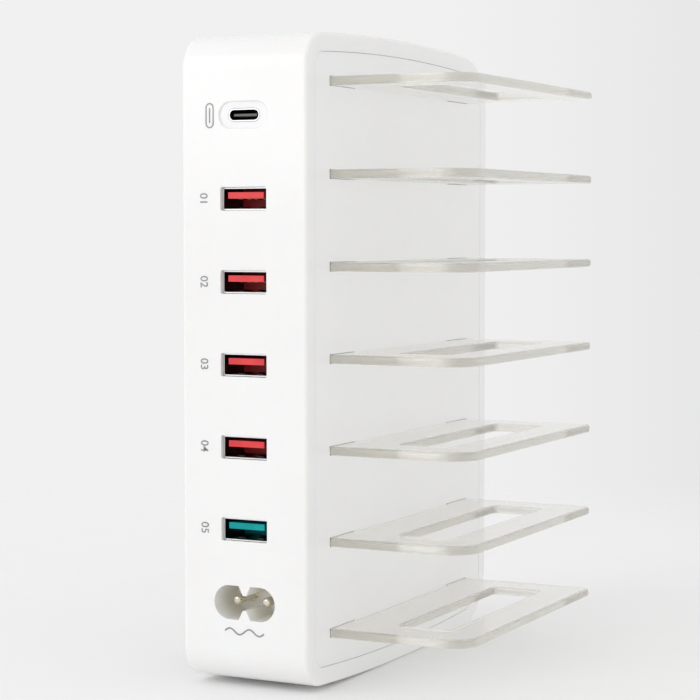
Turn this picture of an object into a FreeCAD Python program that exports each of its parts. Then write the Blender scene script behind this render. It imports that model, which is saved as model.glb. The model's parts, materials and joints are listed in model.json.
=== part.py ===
import FreeCAD, Part
import math
import os

# Desk charging station with a rack of clear dividers. All sizes are in millimetres.
# It stands on one arched end: +Z runs up the long side of the case, the socket panel
# faces -Y, the dividers reach out to +X and the rubber feet are on the -X side.
# While it is drawn, X is 0 on the desk face, Y is 0 on the socket panel and Z is 0 under
# the lower end. At the end every piece is shifted so that the origin lies under the
# middle of the whole object.

# Case
BODY_HEIGHT = 169.5        # over the crowns of the two arched ends
BODY_DEPTH = 115.0         # socket panel to back wall
BODY_THICKNESS = 36.0      # desk face to divider face
END_CROWN = 2.3            # rise of each arched end from its corners to its middle
PANEL_CORNER_RADIUS = 9.0  # long corners between the panel and the ends
BACK_CORNER_RADIUS = 16.0  # long corners between the back wall and the ends
EDGE_RADIUS = 0.9          # outer edges of the two broad faces
WALL = 2.4
LEAST_ROUND = 0.4          # rounding of inner corners that the wall has used up

# Divider plate in the broad face
SEAM_INSET = 4.8           # outer skin to the seam round the plate
SEAM_GAP = 0.06
PLATE_THICKNESS = 2.4
PLATE_EDGE = 0.2           # softened edge of the plate along the seam
LEDGE_THICKNESS = 1.8      # step in the case that the plate lies on
LEDGE_WIDTH = 2.4
HOOK_LENGTH = 8.0          # snap hooks that hold the plate down
HOOK_THICKNESS = 1.6
HOOK_BARB = 0.9
HOOK_GAP = 0.1
HOOK_FROM_END = 30.0

# Dividers
DIVIDER_COUNT = 7
DIVIDER_THICKNESS = 2.3
DIVIDER_REACH = 38.7       # stands out of the face
DIVIDER_FROM_PANEL = 12.9
DIVIDER_FROM_BACK = 14.5
DIVIDER_FROM_TOP = 13.6    # first divider to the upper end of the case
DIVIDER_FROM_BOTTOM = 14.5 # last divider to the lower end
DIVIDER_FRONT_CORNER = 8.0
DIVIDER_REAR_CORNER = 1.5
DIVIDER_EDGE = 0.8         # polished edge
WINDOW_FROM_FACE = 13.8
WINDOW_WIDTH = 14.0
WINDOW_FROM_FRONT = 12.5   # divider front edge to window
WINDOW_FROM_REAR = 10.6
WINDOW_CORNER = 1.5
TAB_LENGTH = 14.2
TAB_DEPTH = 6.0
TAB_END_GAP = 0.3
TAB_SIDE_GAP = 0.1
SLEEVE_WALL = 1.2

# Socket row on the panel
OVAL_FROM_TOP = 22.4
INLET_FROM_BOTTOM = 22.9
INLET_TO_PORT = 18.8
PORT_COUNT = 5
PORT_BOARD_SETBACK = 14.0  # panel to the board that carries the sockets
PANEL_HOLE_GAP = 0.1       # panel hole round a socket shell
PANEL_HOLE_ROUND = 0.4
SOCKET_BLOCK = 3.0         # insulator at the root of each socket
FIT_GAP = 0.05             # between parts pressed or screwed together

# Wide charging socket
PORT_WIDTH = 12.5
PORT_HEIGHT = 5.12
PORT_SHELL_WALL = 0.3
PORT_SETBACK = 1.2
PORT_TONGUE_WIDTH = 10.3
PORT_TONGUE_THICKNESS = 1.6
PORT_TONGUE_FROM_TOP = 0.9
PORT_TONGUE_SETBACK = 0.2
PORT_CONTACT_WIDTH = 1.0
PORT_CONTACT_THICKNESS = 0.22
PORT_CONTACT_OUTER = 3.5   # outer contacts from the middle
PORT_CONTACT_INNER = 1.0
PORT_CONTACT_SETBACK = 3.6

# Small oval socket in its shallow pocket
OVAL_WIDTH = 8.34
OVAL_HEIGHT = 2.6
OVAL_SHELL_WALL = 0.3
OVAL_SETBACK = 0.6
OVAL_TONGUE_WIDTH = 6.69
OVAL_TONGUE_THICKNESS = 0.6
OVAL_TONGUE_SETBACK = 0.8
OVAL_CONTACT_COUNT = 12    # on each side of the tongue
OVAL_CONTACT_PITCH = 0.5
OVAL_CONTACT_WIDTH = 0.26
OVAL_CONTACT_THICKNESS = 0.1
OVAL_CONTACT_SETBACK = 2.0
POCKET_WIDTH = 14.1
POCKET_HEIGHT = 6.7
POCKET_DEPTH = 0.6
POCKET_ROUND = 0.4         # softened mouth of the pocket

# Mains inlet
INLET_PITCH = 8.6
INLET_WIDTH = 17.7
INLET_HEIGHT = 8.8
INLET_WAIST = 3.8          # left between the upper and the lower notch
NOTCH_MOUTH = 3.4
NOTCH_FLOOR = 1.0
INLET_DEPTH = 12.0
INLET_WALL = 1.6
PIN_RADIUS = 1.2
PIN_SETBACK = 3.4
PIN_TIP_ROUND = 0.8
PIN_SHANK_RADIUS = 1.5
PIN_TAIL_RADIUS = 0.9
PIN_TAIL_LENGTH = 4.0

# Desk side: base plate, feet and case screws
BASE_THICKNESS = 2.2
BASE_GAP = 0.2
FOOT_RADIUS = 5.0
FOOT_RECESS = 0.8
FOOT_PROUD = 1.5
FOOT_GAP = 0.1
FOOT_ROUND = 0.5
FOOT_FROM_PANEL = 24.0     # also from the back wall
FOOT_FROM_END = 11.0
CASE_SCREW_HEAD_RADIUS = 2.5
CASE_SCREW_HEAD_HEIGHT = 1.6
CASE_SCREW_RADIUS = 1.3
CASE_SCREW_LENGTH = 10.0
SCREW_HEAD_GAP = 0.2
SCREW_SEAT = 1.6           # plate under and round a screw head
POST_RADIUS = 3.5
POST_WEB = 1.6
POST_TOP_GAP = 1.0
VENT_COUNT = 9
VENT_PITCH = 7.0
VENT_LENGTH = 42.0
VENT_WIDTH = 2.0

# Boards
BOARD_THICKNESS = 1.6
PORT_BOARD_CLEAR = 1.0     # to the sleeves of the divider plate
PORT_BOARD_LIFT = 3.0      # above the base plate
PORT_BOARD_MARGIN = 2.4    # past the first and last socket
BOARD_SCREW_RADIUS = 1.0
BOARD_SCREW_HEAD_RADIUS = 2.0
BOARD_SCREW_HEAD_HEIGHT = 1.4
BOARD_SCREW_LENGTH = 4.6
BOSS_RADIUS = 2.6
MAIN_BOARD_LIFT = 3.8
MAIN_BOARD_CLEAR = 2.5     # to the screw posts in front and behind
MAIN_BOARD_BELOW_INLET = 10.0
MAIN_BOARD_FROM_TOP = 16.0
MAIN_SCREW_FROM_EDGE = 3.5
MAIN_SCREW_FROM_END = 8.0

# What stands on the main board: sizes are (height, along Y, along Z)
CEILING_GAP = 1.2          # tallest part to the sleeves of the divider plate
FUSE_SIZE = (8.0, 4.2, 8.5)
FILTER_SIZE = (11.0, 6.0, 11.0)
BRIDGE_SIZE = (11.0, 3.5, 12.0)
POWER_SIZE = (15.0, 10.0, 4.4)
CHIP_LENGTH = 5.0
CHIP_WIDTH = 4.0
CHIP_HEIGHT = 1.6
RING_RADIUS = 6.0
RING_BORE = 3.0
RING_HEIGHT = 8.0
BULK_RADIUS = 6.0
BULK_HEADROOM = 2.0
BULK_PITCH = 15.0
OUTPUT_RADIUS = 5.0
OUTPUT_HEADROOM = 6.0
OUTPUT_PITCH = 13.0
CAN_ROUND = 0.8
CORE_LENGTH = 24.0
CORE_WIDTH = 10.0
CORE_YOKE = 4.0
CORE_HEADROOM = 3.0
CORE_LIMB_UNITS = 6        # limb, gap, double middle limb, gap, limb over the core's height
WINDING_WIDTH = 22.0
WINDING_GAP = 0.3
BOBBIN_LIFT = 2.0
SINK_LENGTH = 18.0
SINK_THICKNESS = 1.6
SINK_HEADROOM = 3.0
DISC_RADIUS = 4.5
DISC_THICKNESS = 3.5
DISC_LEG_LENGTH = 2.0
DISC_LEG_WIDTH = 0.9
DISC_LEG_PITCH = 5.0

# Places on the main board, up from its lower end or down from its upper end
MAINS_ROW_UP = 19.0
BULK_ROW_UP = 32.0
SWITCH_ROW_UP = 46.0
TRANSFORMER_UP = 66.0
RECTIFIER_ROW_DOWN = 30.0
OUTPUT_ROW_DOWN = 17.0
FUSE_FROM_FRONT = 5.0
RING_FROM_FRONT = 8.0
BRIDGE_FROM_BACK = 5.0
SINK_FROM_BACK = 4.0
DISC_FROM_BACK = 2.0

# Leads
LEAD_RADIUS = 1.0
LEAD_BEND_SHARE = 0.8      # bend radius over the shorter run of the elbow
MAINS_LEAD_LANDINGS = (8.0, 14.0)
OUTPUT_LEAD_LANDING = 8.0
OUTPUT_LEAD_OFFSET = 4.0   # from the socket line towards the desk face
OUTPUT_LEAD_SPREAD = 2.0   # each lead from the line between them

# Drawing aids
OVERCUT = 1.0              # cutters run this far past the faces they open
TOUCH = 0.001              # nearer than this counts as touching
V = FreeCAD.Vector
ALONG_X = V(1, 0, 0)
ALONG_Y = V(0, 1, 0)
ALONG_Z = V(0, 0, 1)
SIDES = (-1, 1)

# Places worked out from the sizes above
MIDDLE_Y = BODY_DEPTH / 2
MIDDLE_Z = BODY_HEIGHT / 2
CROWN_RADIUS = (MIDDLE_Y**2 + END_CROWN**2) / (2 * END_CROWN)
PORT_X = BODY_THICKNESS / 2
OVAL_Z = BODY_HEIGHT - OVAL_FROM_TOP
INLET_Z = INLET_FROM_BOTTOM
PORT_PITCH = (OVAL_Z - INLET_Z - INLET_TO_PORT) / PORT_COUNT
PORT_Z = [OVAL_Z - PORT_PITCH * (i + 1) for i in range(PORT_COUNT)]
DIVIDER_SPAN = BODY_HEIGHT - DIVIDER_FROM_TOP - DIVIDER_FROM_BOTTOM
DIVIDER_PITCH = DIVIDER_SPAN / (DIVIDER_COUNT - 1)
DIVIDER_Z = [BODY_HEIGHT - DIVIDER_FROM_TOP - DIVIDER_PITCH * i for i in range(DIVIDER_COUNT)]
DIVIDER_FRONT = DIVIDER_FROM_PANEL
DIVIDER_REAR = BODY_DEPTH - DIVIDER_FROM_BACK
TAB_STARTS = (DIVIDER_FRONT, DIVIDER_REAR - TAB_LENGTH)
PLATE_UNDERSIDE = BODY_THICKNESS - PLATE_THICKNESS
LEDGE_UNDERSIDE = PLATE_UNDERSIDE - LEDGE_THICKNESS
SLEEVE_CAVITY = BODY_THICKNESS - TAB_DEPTH - TAB_END_GAP
SLEEVE_BOTTOM = SLEEVE_CAVITY - SLEEVE_WALL
FOOT_PLACES = [(y, z) for y in (FOOT_FROM_PANEL, BODY_DEPTH - FOOT_FROM_PANEL)
               for z in (FOOT_FROM_END, BODY_HEIGHT - FOOT_FROM_END)]
SCREW_SEAT_X = FOOT_RECESS + CASE_SCREW_HEAD_HEIGHT + SCREW_HEAD_GAP
POST_START = SCREW_SEAT_X + SCREW_SEAT
POST_TOP = SLEEVE_BOTTOM - POST_TOP_GAP
SOCKET_ROOT = PORT_BOARD_SETBACK - SOCKET_BLOCK
PORT_BOARD_BACK = PORT_BOARD_SETBACK + BOARD_THICKNESS
PORT_BOARD_SCREWS = ((PORT_Z[0] + PORT_Z[1]) / 2, (PORT_Z[-2] + PORT_Z[-1]) / 2)
INLET_FLOOR = INLET_DEPTH + INLET_WALL
PIN_TAIL_END = INLET_FLOOR + PIN_TAIL_LENGTH
MAIN_BOARD_UNDERSIDE = BASE_THICKNESS + MAIN_BOARD_LIFT
BOARD_TOP = MAIN_BOARD_UNDERSIDE + BOARD_THICKNESS
BOARD_FRONT = FOOT_FROM_PANEL + POST_RADIUS + MAIN_BOARD_CLEAR
BOARD_BACK = BODY_DEPTH - BOARD_FRONT
BOARD_LOW = INLET_Z - MAIN_BOARD_BELOW_INLET
BOARD_HIGH = BODY_HEIGHT - MAIN_BOARD_FROM_TOP
MAIN_SCREW_YS = (BOARD_FRONT + MAIN_SCREW_FROM_EDGE, BOARD_BACK - MAIN_SCREW_FROM_EDGE)
MAIN_SCREW_ZS = (BOARD_LOW + MAIN_SCREW_FROM_END, BOARD_HIGH - MAIN_SCREW_FROM_END)
MAIN_BOARD_SCREWS = [(y, z) for y in MAIN_SCREW_YS for z in MAIN_SCREW_ZS]
COMPONENT_ROOM = SLEEVE_BOTTOM - CEILING_GAP - BOARD_TOP
CORE_BOTTOM = BOARD_TOP + BOBBIN_LIFT
CORE_TOP = BOARD_TOP + COMPONENT_ROOM - CORE_HEADROOM
CORE_LIMB = (CORE_TOP - CORE_BOTTOM) / CORE_LIMB_UNITS
OUTPUT_LEAD_Z = (PORT_Z[1] + PORT_Z[2]) / 2
SHIFT = V(-(BODY_THICKNESS + DIVIDER_REACH - FOOT_PROUD) / 2, -MIDDLE_Y, 0)


# Basic solids

def block(x0, x1, y0, y1, z0, z1):
    return Part.makeBox(x1 - x0, y1 - y0, z1 - z0, V(x0, y0, z0))


def rod_x(radius, x0, x1, y, z):
    return Part.makeCylinder(radius, x1 - x0, V(x0, y, z), ALONG_X)


def rod_y(radius, y0, y1, x, z):
    return Part.makeCylinder(radius, y1 - y0, V(x, y0, z), ALONG_Y)


def join(shapes):
    return shapes[0].fuse(list(shapes[1:])).removeSplitter()


def straight_edges(shape, direction):
    """Straight edges of a shape that run along one direction."""
    lines = [e for e in shape.Edges if e.Curve.TypeId == "Part::GeomLine"]
    return [e for e in lines if e.tangentAt(e.FirstParameter).cross(direction).Length < TOUCH]


def edges_in(shape, x_span, y_span, z_span):
    """Edges whose whole length lies inside a box of three spans."""
    found = []
    for edge in shape.Edges:
        box = edge.BoundBox
        in_x = box.XMin > x_span[0] - TOUCH and box.XMax < x_span[1] + TOUCH
        in_y = box.YMin > y_span[0] - TOUCH and box.YMax < y_span[1] + TOUCH
        in_z = box.ZMin > z_span[0] - TOUCH and box.ZMax < z_span[1] + TOUCH
        if in_x and in_y and in_z:
            found.append(edge)
    return found


def rounded_block_y(width, height, radius, y0, y1, x, z):
    """Block along Y round a centre line, with its four long edges rounded."""
    solid = block(x - width / 2, x + width / 2, y0, y1, z - height / 2, z + height / 2)
    return solid.makeFillet(radius, straight_edges(solid, ALONG_Y))


def oval_y(width, height, y0, y1, x, z):
    """Block along Y with fully round ends to left and right."""
    offset = (width - height) / 2
    middle = block(x - offset, x + offset, y0, y1, z - height / 2, z + height / 2)
    ends = [rod_y(height / 2, y0, y1, x + side * offset, z) for side in SIDES]
    return join([middle] + ends)


def slot_x(length, width, x0, x1, y, z):
    """Long slot through a plate that faces X, round at both ends."""
    offset = (length - width) / 2
    middle = block(x0, x1, y - offset, y + offset, z - width / 2, z + width / 2)
    ends = [rod_x(width / 2, x0, x1, y + side * offset, z) for side in SIDES]
    return join([middle] + ends)


# Case

def case_outline(inset, x0, x1):
    """The case outline drawn in by inset all round, between two distances from the desk face."""
    front = inset
    back = BODY_DEPTH - inset
    corner_low = CROWN_RADIUS - math.sqrt((CROWN_RADIUS - inset) ** 2 - (MIDDLE_Y - inset) ** 2)
    corner_high = BODY_HEIGHT - corner_low
    front_low, front_high = V(x0, front, corner_low), V(x0, front, corner_high)
    back_low, back_high = V(x0, back, corner_low), V(x0, back, corner_high)
    edges = [
        Part.LineSegment(front_low, front_high).toShape(),
        Part.Arc(front_high, V(x0, MIDDLE_Y, BODY_HEIGHT - inset), back_high).toShape(),
        Part.LineSegment(back_high, back_low).toShape(),
        Part.Arc(back_low, V(x0, MIDDLE_Y, inset), front_low).toShape(),
    ]
    prism = Part.Face(Part.Wire(edges)).extrude(V(x1 - x0, 0, 0))
    for side, radius in zip(SIDES, (PANEL_CORNER_RADIUS, BACK_CORNER_RADIUS)):
        corners = [e for e in straight_edges(prism, ALONG_X) if side * (e.CenterOfMass.y - MIDDLE_Y) > 0]
        prism = prism.makeFillet(max(radius - inset, LEAST_ROUND), corners)
    return prism


def end_rise(y):
    """How far the arched end has risen from its crown at one depth."""
    return CROWN_RADIUS - math.sqrt(CROWN_RADIUS**2 - (y - MIDDLE_Y) ** 2)


def inlet_cavity():
    """Room for the mains connector: an oval along Y with a notch in its upper and lower middle."""
    cavity = oval_y(INLET_WIDTH, INLET_HEIGHT, -OVERCUT, INLET_DEPTH, PORT_X, INLET_Z)
    length = V(0, INLET_DEPTH + OVERCUT, 0)
    for side in SIDES:
        floor_z = INLET_Z + side * INLET_WAIST / 2
        mouth_z = INLET_Z + side * INLET_HEIGHT / 2
        places = [(-NOTCH_MOUTH / 2, mouth_z), (-NOTCH_FLOOR / 2, floor_z),
                  (NOTCH_FLOOR / 2, floor_z), (NOTCH_MOUTH / 2, mouth_z)]
        corners = [V(PORT_X + x, -OVERCUT, z) for x, z in places]
        notch = Part.Face(Part.makePolygon(corners + corners[:1])).extrude(length)
        cavity = cavity.cut(notch)
    return cavity


def case_post(y, z):
    """Screw post with webs to the panel or back wall and to the end wall."""
    wall_y = WALL / 2 if y < MIDDLE_Y else BODY_DEPTH - WALL / 2
    into_end = end_rise(y) + WALL / 2
    wall_z = into_end if z < MIDDLE_Z else BODY_HEIGHT - into_end
    half = POST_WEB / 2
    web_y = block(POST_START, POST_TOP, min(y, wall_y), max(y, wall_y), z - half, z + half)
    web_z = block(POST_START, POST_TOP, y - half, y + half, min(z, wall_z), max(z, wall_z))
    return [rod_x(POST_RADIUS, POST_START, POST_TOP, y, z), web_y, web_z]


def make_case_walls():
    """Panel, ends, back wall and rim, open to the desk side and stepped for the divider plate."""
    outer = case_outline(0, 0, BODY_THICKNESS)
    rims = [e for e in outer.Edges if e.BoundBox.XLength < TOUCH]
    outer = outer.makeFillet(EDGE_RADIUS, rims)
    room = case_outline(WALL, -OVERCUT, LEDGE_UNDERSIDE)
    ledge_hole = case_outline(SEAM_INSET + LEDGE_WIDTH, LEDGE_UNDERSIDE, PLATE_UNDERSIDE)
    plate_hole = case_outline(SEAM_INSET, PLATE_UNDERSIDE, BODY_THICKNESS + OVERCUT)
    return outer.cut([room, ledge_hole, plate_hole])


def make_main_shell():
    shell = make_case_walls()
    added = [rod_y(BOSS_RADIUS, WALL / 2, PORT_BOARD_SETBACK, PORT_X, z) for z in PORT_BOARD_SCREWS]
    outer_width = INLET_WIDTH + 2 * INLET_WALL
    outer_height = INLET_HEIGHT + 2 * INLET_WALL
    added.append(oval_y(outer_width, outer_height, WALL / 2, INLET_FLOOR, PORT_X, INLET_Z))
    wall_middle = case_outline(WALL / 2, POST_START, POST_TOP)
    for y, z in FOOT_PLACES:
        added += [piece.common(wall_middle) for piece in case_post(y, z)]
    shell = shell.fuse(added).removeSplitter()
    cuts = [port_hole(z) for z in PORT_Z]
    cuts += [oval_pocket(), oval_hole()]
    cuts.append(inlet_cavity())
    for side in SIDES:
        x = PORT_X + side * INLET_PITCH / 2
        bore = PIN_SHANK_RADIUS + FIT_GAP
        cuts.append(rod_y(bore, INLET_DEPTH - OVERCUT, INLET_FLOOR + OVERCUT, x, INLET_Z))
    for z in PORT_BOARD_SCREWS:
        hole_end = PORT_BOARD_BACK - BOARD_SCREW_LENGTH - FIT_GAP
        bore = BOARD_SCREW_RADIUS + FIT_GAP
        cuts.append(rod_y(bore, hole_end, PORT_BOARD_SETBACK + OVERCUT, PORT_X, z))
    for y, z in FOOT_PLACES:
        hole_end = SCREW_SEAT_X + CASE_SCREW_LENGTH + FIT_GAP
        cuts.append(rod_x(CASE_SCREW_RADIUS + FIT_GAP, POST_START - OVERCUT, hole_end, y, z))
    shell = shell.cut(cuts)
    across = POCKET_WIDTH / 2
    up = POCKET_HEIGHT / 2
    mouth = edges_in(shell, (PORT_X - across, PORT_X + across), (0, 0), (OVAL_Z - up, OVAL_Z + up))
    return shell.makeFillet(POCKET_ROUND, mouth)


def port_hole(z):
    grow = 2 * (PORT_SHELL_WALL + PANEL_HOLE_GAP)
    width = PORT_WIDTH + grow
    height = PORT_HEIGHT + grow
    return rounded_block_y(width, height, PANEL_HOLE_ROUND, -OVERCUT, WALL + OVERCUT, PORT_X, z)


def oval_pocket():
    return oval_y(POCKET_WIDTH, POCKET_HEIGHT, -OVERCUT, POCKET_DEPTH, PORT_X, OVAL_Z)


def oval_hole():
    grow = 2 * (OVAL_SHELL_WALL + PANEL_HOLE_GAP)
    return oval_y(OVAL_WIDTH + grow, OVAL_HEIGHT + grow, 0, WALL + OVERCUT, PORT_X, OVAL_Z)


def snap_hook(z, side):
    """Springy arm under the plate with a barb below the ledge of the case, at front or back."""
    inset = SEAM_INSET + LEDGE_WIDTH + HOOK_GAP
    barb_top = LEDGE_UNDERSIDE - HOOK_GAP
    barb_foot = barb_top - 2 * HOOK_BARB
    z0, z1 = z - HOOK_LENGTH / 2, z + HOOK_LENGTH / 2
    arm = block(barb_foot, PLATE_UNDERSIDE, inset, inset + HOOK_THICKNESS, z0, z1)
    corners = [V(barb_top, inset, z0), V(barb_top, inset - HOOK_BARB, z0), V(barb_foot, inset, z0)]
    barb = Part.Face(Part.makePolygon(corners + corners[:1])).extrude(V(0, 0, HOOK_LENGTH))
    hook = join([arm, barb])
    if side > 0:
        hook = hook.mirror(V(0, MIDDLE_Y, 0), ALONG_Y)
    return hook


def make_divider_plate():
    plate = case_outline(SEAM_INSET + SEAM_GAP, PLATE_UNDERSIDE, BODY_THICKNESS)
    seam_edges = [e for e in plate.Edges if e.BoundBox.XMin > BODY_THICKNESS - TOUCH]
    plate = plate.makeFillet(PLATE_EDGE, seam_edges)
    added = []
    slots = []
    half = DIVIDER_THICKNESS / 2 + TAB_SIDE_GAP
    wide = half + SLEEVE_WALL
    sleeve_top = PLATE_UNDERSIDE + PLATE_THICKNESS / 2
    for z in DIVIDER_Z:
        for start in TAB_STARTS:
            y0 = start - TAB_SIDE_GAP
            y1 = start + TAB_LENGTH + TAB_SIDE_GAP
            front, rear = y0 - SLEEVE_WALL, y1 + SLEEVE_WALL
            added.append(block(SLEEVE_BOTTOM, sleeve_top, front, rear, z - wide, z + wide))
            slots.append(block(SLEEVE_CAVITY, BODY_THICKNESS + OVERCUT, y0, y1, z - half, z + half))
    for z in (HOOK_FROM_END, MIDDLE_Z, BODY_HEIGHT - HOOK_FROM_END):
        added += [snap_hook(z, side) for side in SIDES]
    return plate.fuse(added).removeSplitter().cut(slots)


def make_divider(z):
    """Clear sheet with a long window, standing on the face with its two tabs down in the slots."""
    z0, z1 = z - DIVIDER_THICKNESS / 2, z + DIVIDER_THICKNESS / 2
    outer = BODY_THICKNESS + DIVIDER_REACH
    sheet = block(BODY_THICKNESS, outer, DIVIDER_FRONT, DIVIDER_REAR, z0, z1)
    for radius, y in ((DIVIDER_FRONT_CORNER, DIVIDER_FRONT), (DIVIDER_REAR_CORNER, DIVIDER_REAR)):
        sheet = sheet.makeFillet(radius, edges_in(sheet, (outer, outer), (y, y), (z0, z1)))
    tabs = [block(BODY_THICKNESS - TAB_DEPTH, BODY_THICKNESS, y, y + TAB_LENGTH, z0, z1) for y in TAB_STARTS]
    window_low = BODY_THICKNESS + WINDOW_FROM_FACE
    window = block(window_low, window_low + WINDOW_WIDTH, DIVIDER_FRONT + WINDOW_FROM_FRONT,
                   DIVIDER_REAR - WINDOW_FROM_REAR, z0 - OVERCUT, z1 + OVERCUT)
    window = window.makeFillet(WINDOW_CORNER, straight_edges(window, ALONG_Z))
    plate = join([sheet] + tabs).cut(window)
    rims = [e for e in plate.Edges if e.BoundBox.ZLength < TOUCH]
    return plate.makeFillet(DIVIDER_EDGE, rims)


# Charging sockets

def make_port_shell(z):
    y0, y1 = PORT_SETBACK, PORT_BOARD_SETBACK
    grow = 2 * PORT_SHELL_WALL
    inner_round = PANEL_HOLE_ROUND - PORT_SHELL_WALL / 2
    outer = rounded_block_y(PORT_WIDTH + grow, PORT_HEIGHT + grow, PANEL_HOLE_ROUND, y0, y1, PORT_X, z)
    hollow = rounded_block_y(PORT_WIDTH, PORT_HEIGHT, inner_round, y0 - OVERCUT, y1 + OVERCUT, PORT_X, z)
    return outer.cut(hollow)


def port_tongue_span(z):
    top = z + PORT_HEIGHT / 2 - PORT_TONGUE_FROM_TOP
    return top - PORT_TONGUE_THICKNESS, top


def make_port_tongue(z):
    """Insulator of a wide socket: a block at its root and the tongue that carries the contacts."""
    low, high = port_tongue_span(z)
    half = PORT_TONGUE_WIDTH / 2
    tip = PORT_SETBACK + PORT_TONGUE_SETBACK
    tongue = block(PORT_X - half, PORT_X + half, tip, PORT_BOARD_SETBACK, low, high)
    width = PORT_WIDTH - 2 * FIT_GAP
    height = PORT_HEIGHT - 2 * FIT_GAP
    root = rounded_block_y(width, height, PANEL_HOLE_ROUND, SOCKET_ROOT, PORT_BOARD_SETBACK, PORT_X, z)
    return join([tongue, root])


def make_port_contacts(z):
    high = port_tongue_span(z)[0]
    low = high - PORT_CONTACT_THICKNESS
    front = PORT_SETBACK + PORT_TONGUE_SETBACK + PORT_CONTACT_SETBACK
    half = PORT_CONTACT_WIDTH / 2
    strips = []
    for offset in (PORT_CONTACT_INNER, PORT_CONTACT_OUTER):
        for side in SIDES:
            x = PORT_X + side * offset
            strips.append(block(x - half, x + half, front, SOCKET_ROOT, low, high))
    return Part.makeCompound(strips)


def make_oval_shell():
    y0, y1 = OVAL_SETBACK, PORT_BOARD_SETBACK
    grow = 2 * OVAL_SHELL_WALL
    outer = oval_y(OVAL_WIDTH + grow, OVAL_HEIGHT + grow, y0, y1, PORT_X, OVAL_Z)
    return outer.cut(oval_y(OVAL_WIDTH, OVAL_HEIGHT, y0 - OVERCUT, y1 + OVERCUT, PORT_X, OVAL_Z))


def make_oval_tongue():
    half = OVAL_TONGUE_WIDTH / 2
    thick = OVAL_TONGUE_THICKNESS / 2
    tip = OVAL_SETBACK + OVAL_TONGUE_SETBACK
    tongue = block(PORT_X - half, PORT_X + half, tip, PORT_BOARD_SETBACK, OVAL_Z - thick, OVAL_Z + thick)
    width = OVAL_WIDTH - 2 * FIT_GAP
    height = OVAL_HEIGHT - 2 * FIT_GAP
    root = oval_y(width, height, SOCKET_ROOT, PORT_BOARD_SETBACK, PORT_X, OVAL_Z)
    return join([tongue, root])


def make_oval_contacts():
    front = OVAL_SETBACK + OVAL_TONGUE_SETBACK + OVAL_CONTACT_SETBACK
    half = OVAL_CONTACT_WIDTH / 2
    near = OVAL_TONGUE_THICKNESS / 2
    far = near + OVAL_CONTACT_THICKNESS
    strips = []
    for i in range(OVAL_CONTACT_COUNT):
        x = PORT_X + (i - (OVAL_CONTACT_COUNT - 1) / 2) * OVAL_CONTACT_PITCH
        for z0, z1 in ((near, far), (-far, -near)):
            strips.append(block(x - half, x + half, front, SOCKET_ROOT, OVAL_Z + z0, OVAL_Z + z1))
    return Part.makeCompound(strips)


def make_inlet_pin(side):
    x = PORT_X + side * INLET_PITCH / 2
    blade = rod_y(PIN_RADIUS, PIN_SETBACK, INLET_DEPTH, x, INLET_Z)
    tip = [e for e in blade.Edges if e.BoundBox.YMax < PIN_SETBACK + TOUCH]
    blade = blade.makeFillet(PIN_TIP_ROUND, tip)
    shank = rod_y(PIN_SHANK_RADIUS, INLET_DEPTH, INLET_FLOOR, x, INLET_Z)
    tail = rod_y(PIN_TAIL_RADIUS, INLET_FLOOR, PIN_TAIL_END, x, INLET_Z)
    return join([blade, shank, tail])


# Desk side

def make_base_plate():
    plate = case_outline(WALL + BASE_GAP, 0, BASE_THICKNESS)
    inside = BASE_THICKNESS / 2
    head_hole = CASE_SCREW_HEAD_RADIUS + SCREW_HEAD_GAP
    added = [rod_x(head_hole + SCREW_SEAT, inside, POST_START, y, z) for y, z in FOOT_PLACES]
    added += [rod_x(BOSS_RADIUS, inside, MAIN_BOARD_UNDERSIDE, y, z) for y, z in MAIN_BOARD_SCREWS]
    cuts = []
    for y, z in FOOT_PLACES:
        cuts.append(rod_x(FOOT_RADIUS + FOOT_GAP, -OVERCUT, FOOT_RECESS, y, z))
        cuts.append(rod_x(head_hole, 0, SCREW_SEAT_X, y, z))
        cuts.append(rod_x(CASE_SCREW_RADIUS + FIT_GAP, 0, POST_START + OVERCUT, y, z))
    hole_end = BOARD_TOP - BOARD_SCREW_LENGTH - FIT_GAP
    for y, z in MAIN_BOARD_SCREWS:
        cuts.append(rod_x(BOARD_SCREW_RADIUS + FIT_GAP, hole_end, MAIN_BOARD_UNDERSIDE + OVERCUT, y, z))
    for i in range(VENT_COUNT):
        z = MIDDLE_Z + (i - (VENT_COUNT - 1) / 2) * VENT_PITCH
        cuts.append(slot_x(VENT_LENGTH, VENT_WIDTH, -OVERCUT, BASE_THICKNESS + OVERCUT, MIDDLE_Y, z))
    return plate.fuse(added).removeSplitter().cut(cuts)


def make_foot(y, z):
    foot = rod_x(FOOT_RADIUS, -FOOT_PROUD, FOOT_RECESS, y, z)
    rim = [e for e in foot.Edges if e.BoundBox.XMax < TOUCH - FOOT_PROUD]
    return foot.makeFillet(FOOT_ROUND, rim)


def make_case_screws():
    screws = []
    for y, z in FOOT_PLACES:
        head = rod_x(CASE_SCREW_HEAD_RADIUS, SCREW_SEAT_X - CASE_SCREW_HEAD_HEIGHT, SCREW_SEAT_X, y, z)
        shank = rod_x(CASE_SCREW_RADIUS, SCREW_SEAT_X, SCREW_SEAT_X + CASE_SCREW_LENGTH, y, z)
        screws.append(join([head, shank]))
    return Part.makeCompound(screws)


# Boards

def make_port_board():
    x0 = BASE_THICKNESS + PORT_BOARD_LIFT
    x1 = SLEEVE_BOTTOM - PORT_BOARD_CLEAR
    low = PORT_Z[-1] - PORT_HEIGHT / 2 - PORT_BOARD_MARGIN
    high = OVAL_Z + OVAL_HEIGHT / 2 + PORT_BOARD_MARGIN
    board = block(x0, x1, PORT_BOARD_SETBACK, PORT_BOARD_BACK, low, high)
    bore = BOARD_SCREW_RADIUS + FIT_GAP
    holes = [rod_y(bore, PORT_BOARD_SETBACK - OVERCUT, PORT_BOARD_BACK + OVERCUT, PORT_X, z)
             for z in PORT_BOARD_SCREWS]
    return board.cut(holes)


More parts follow.
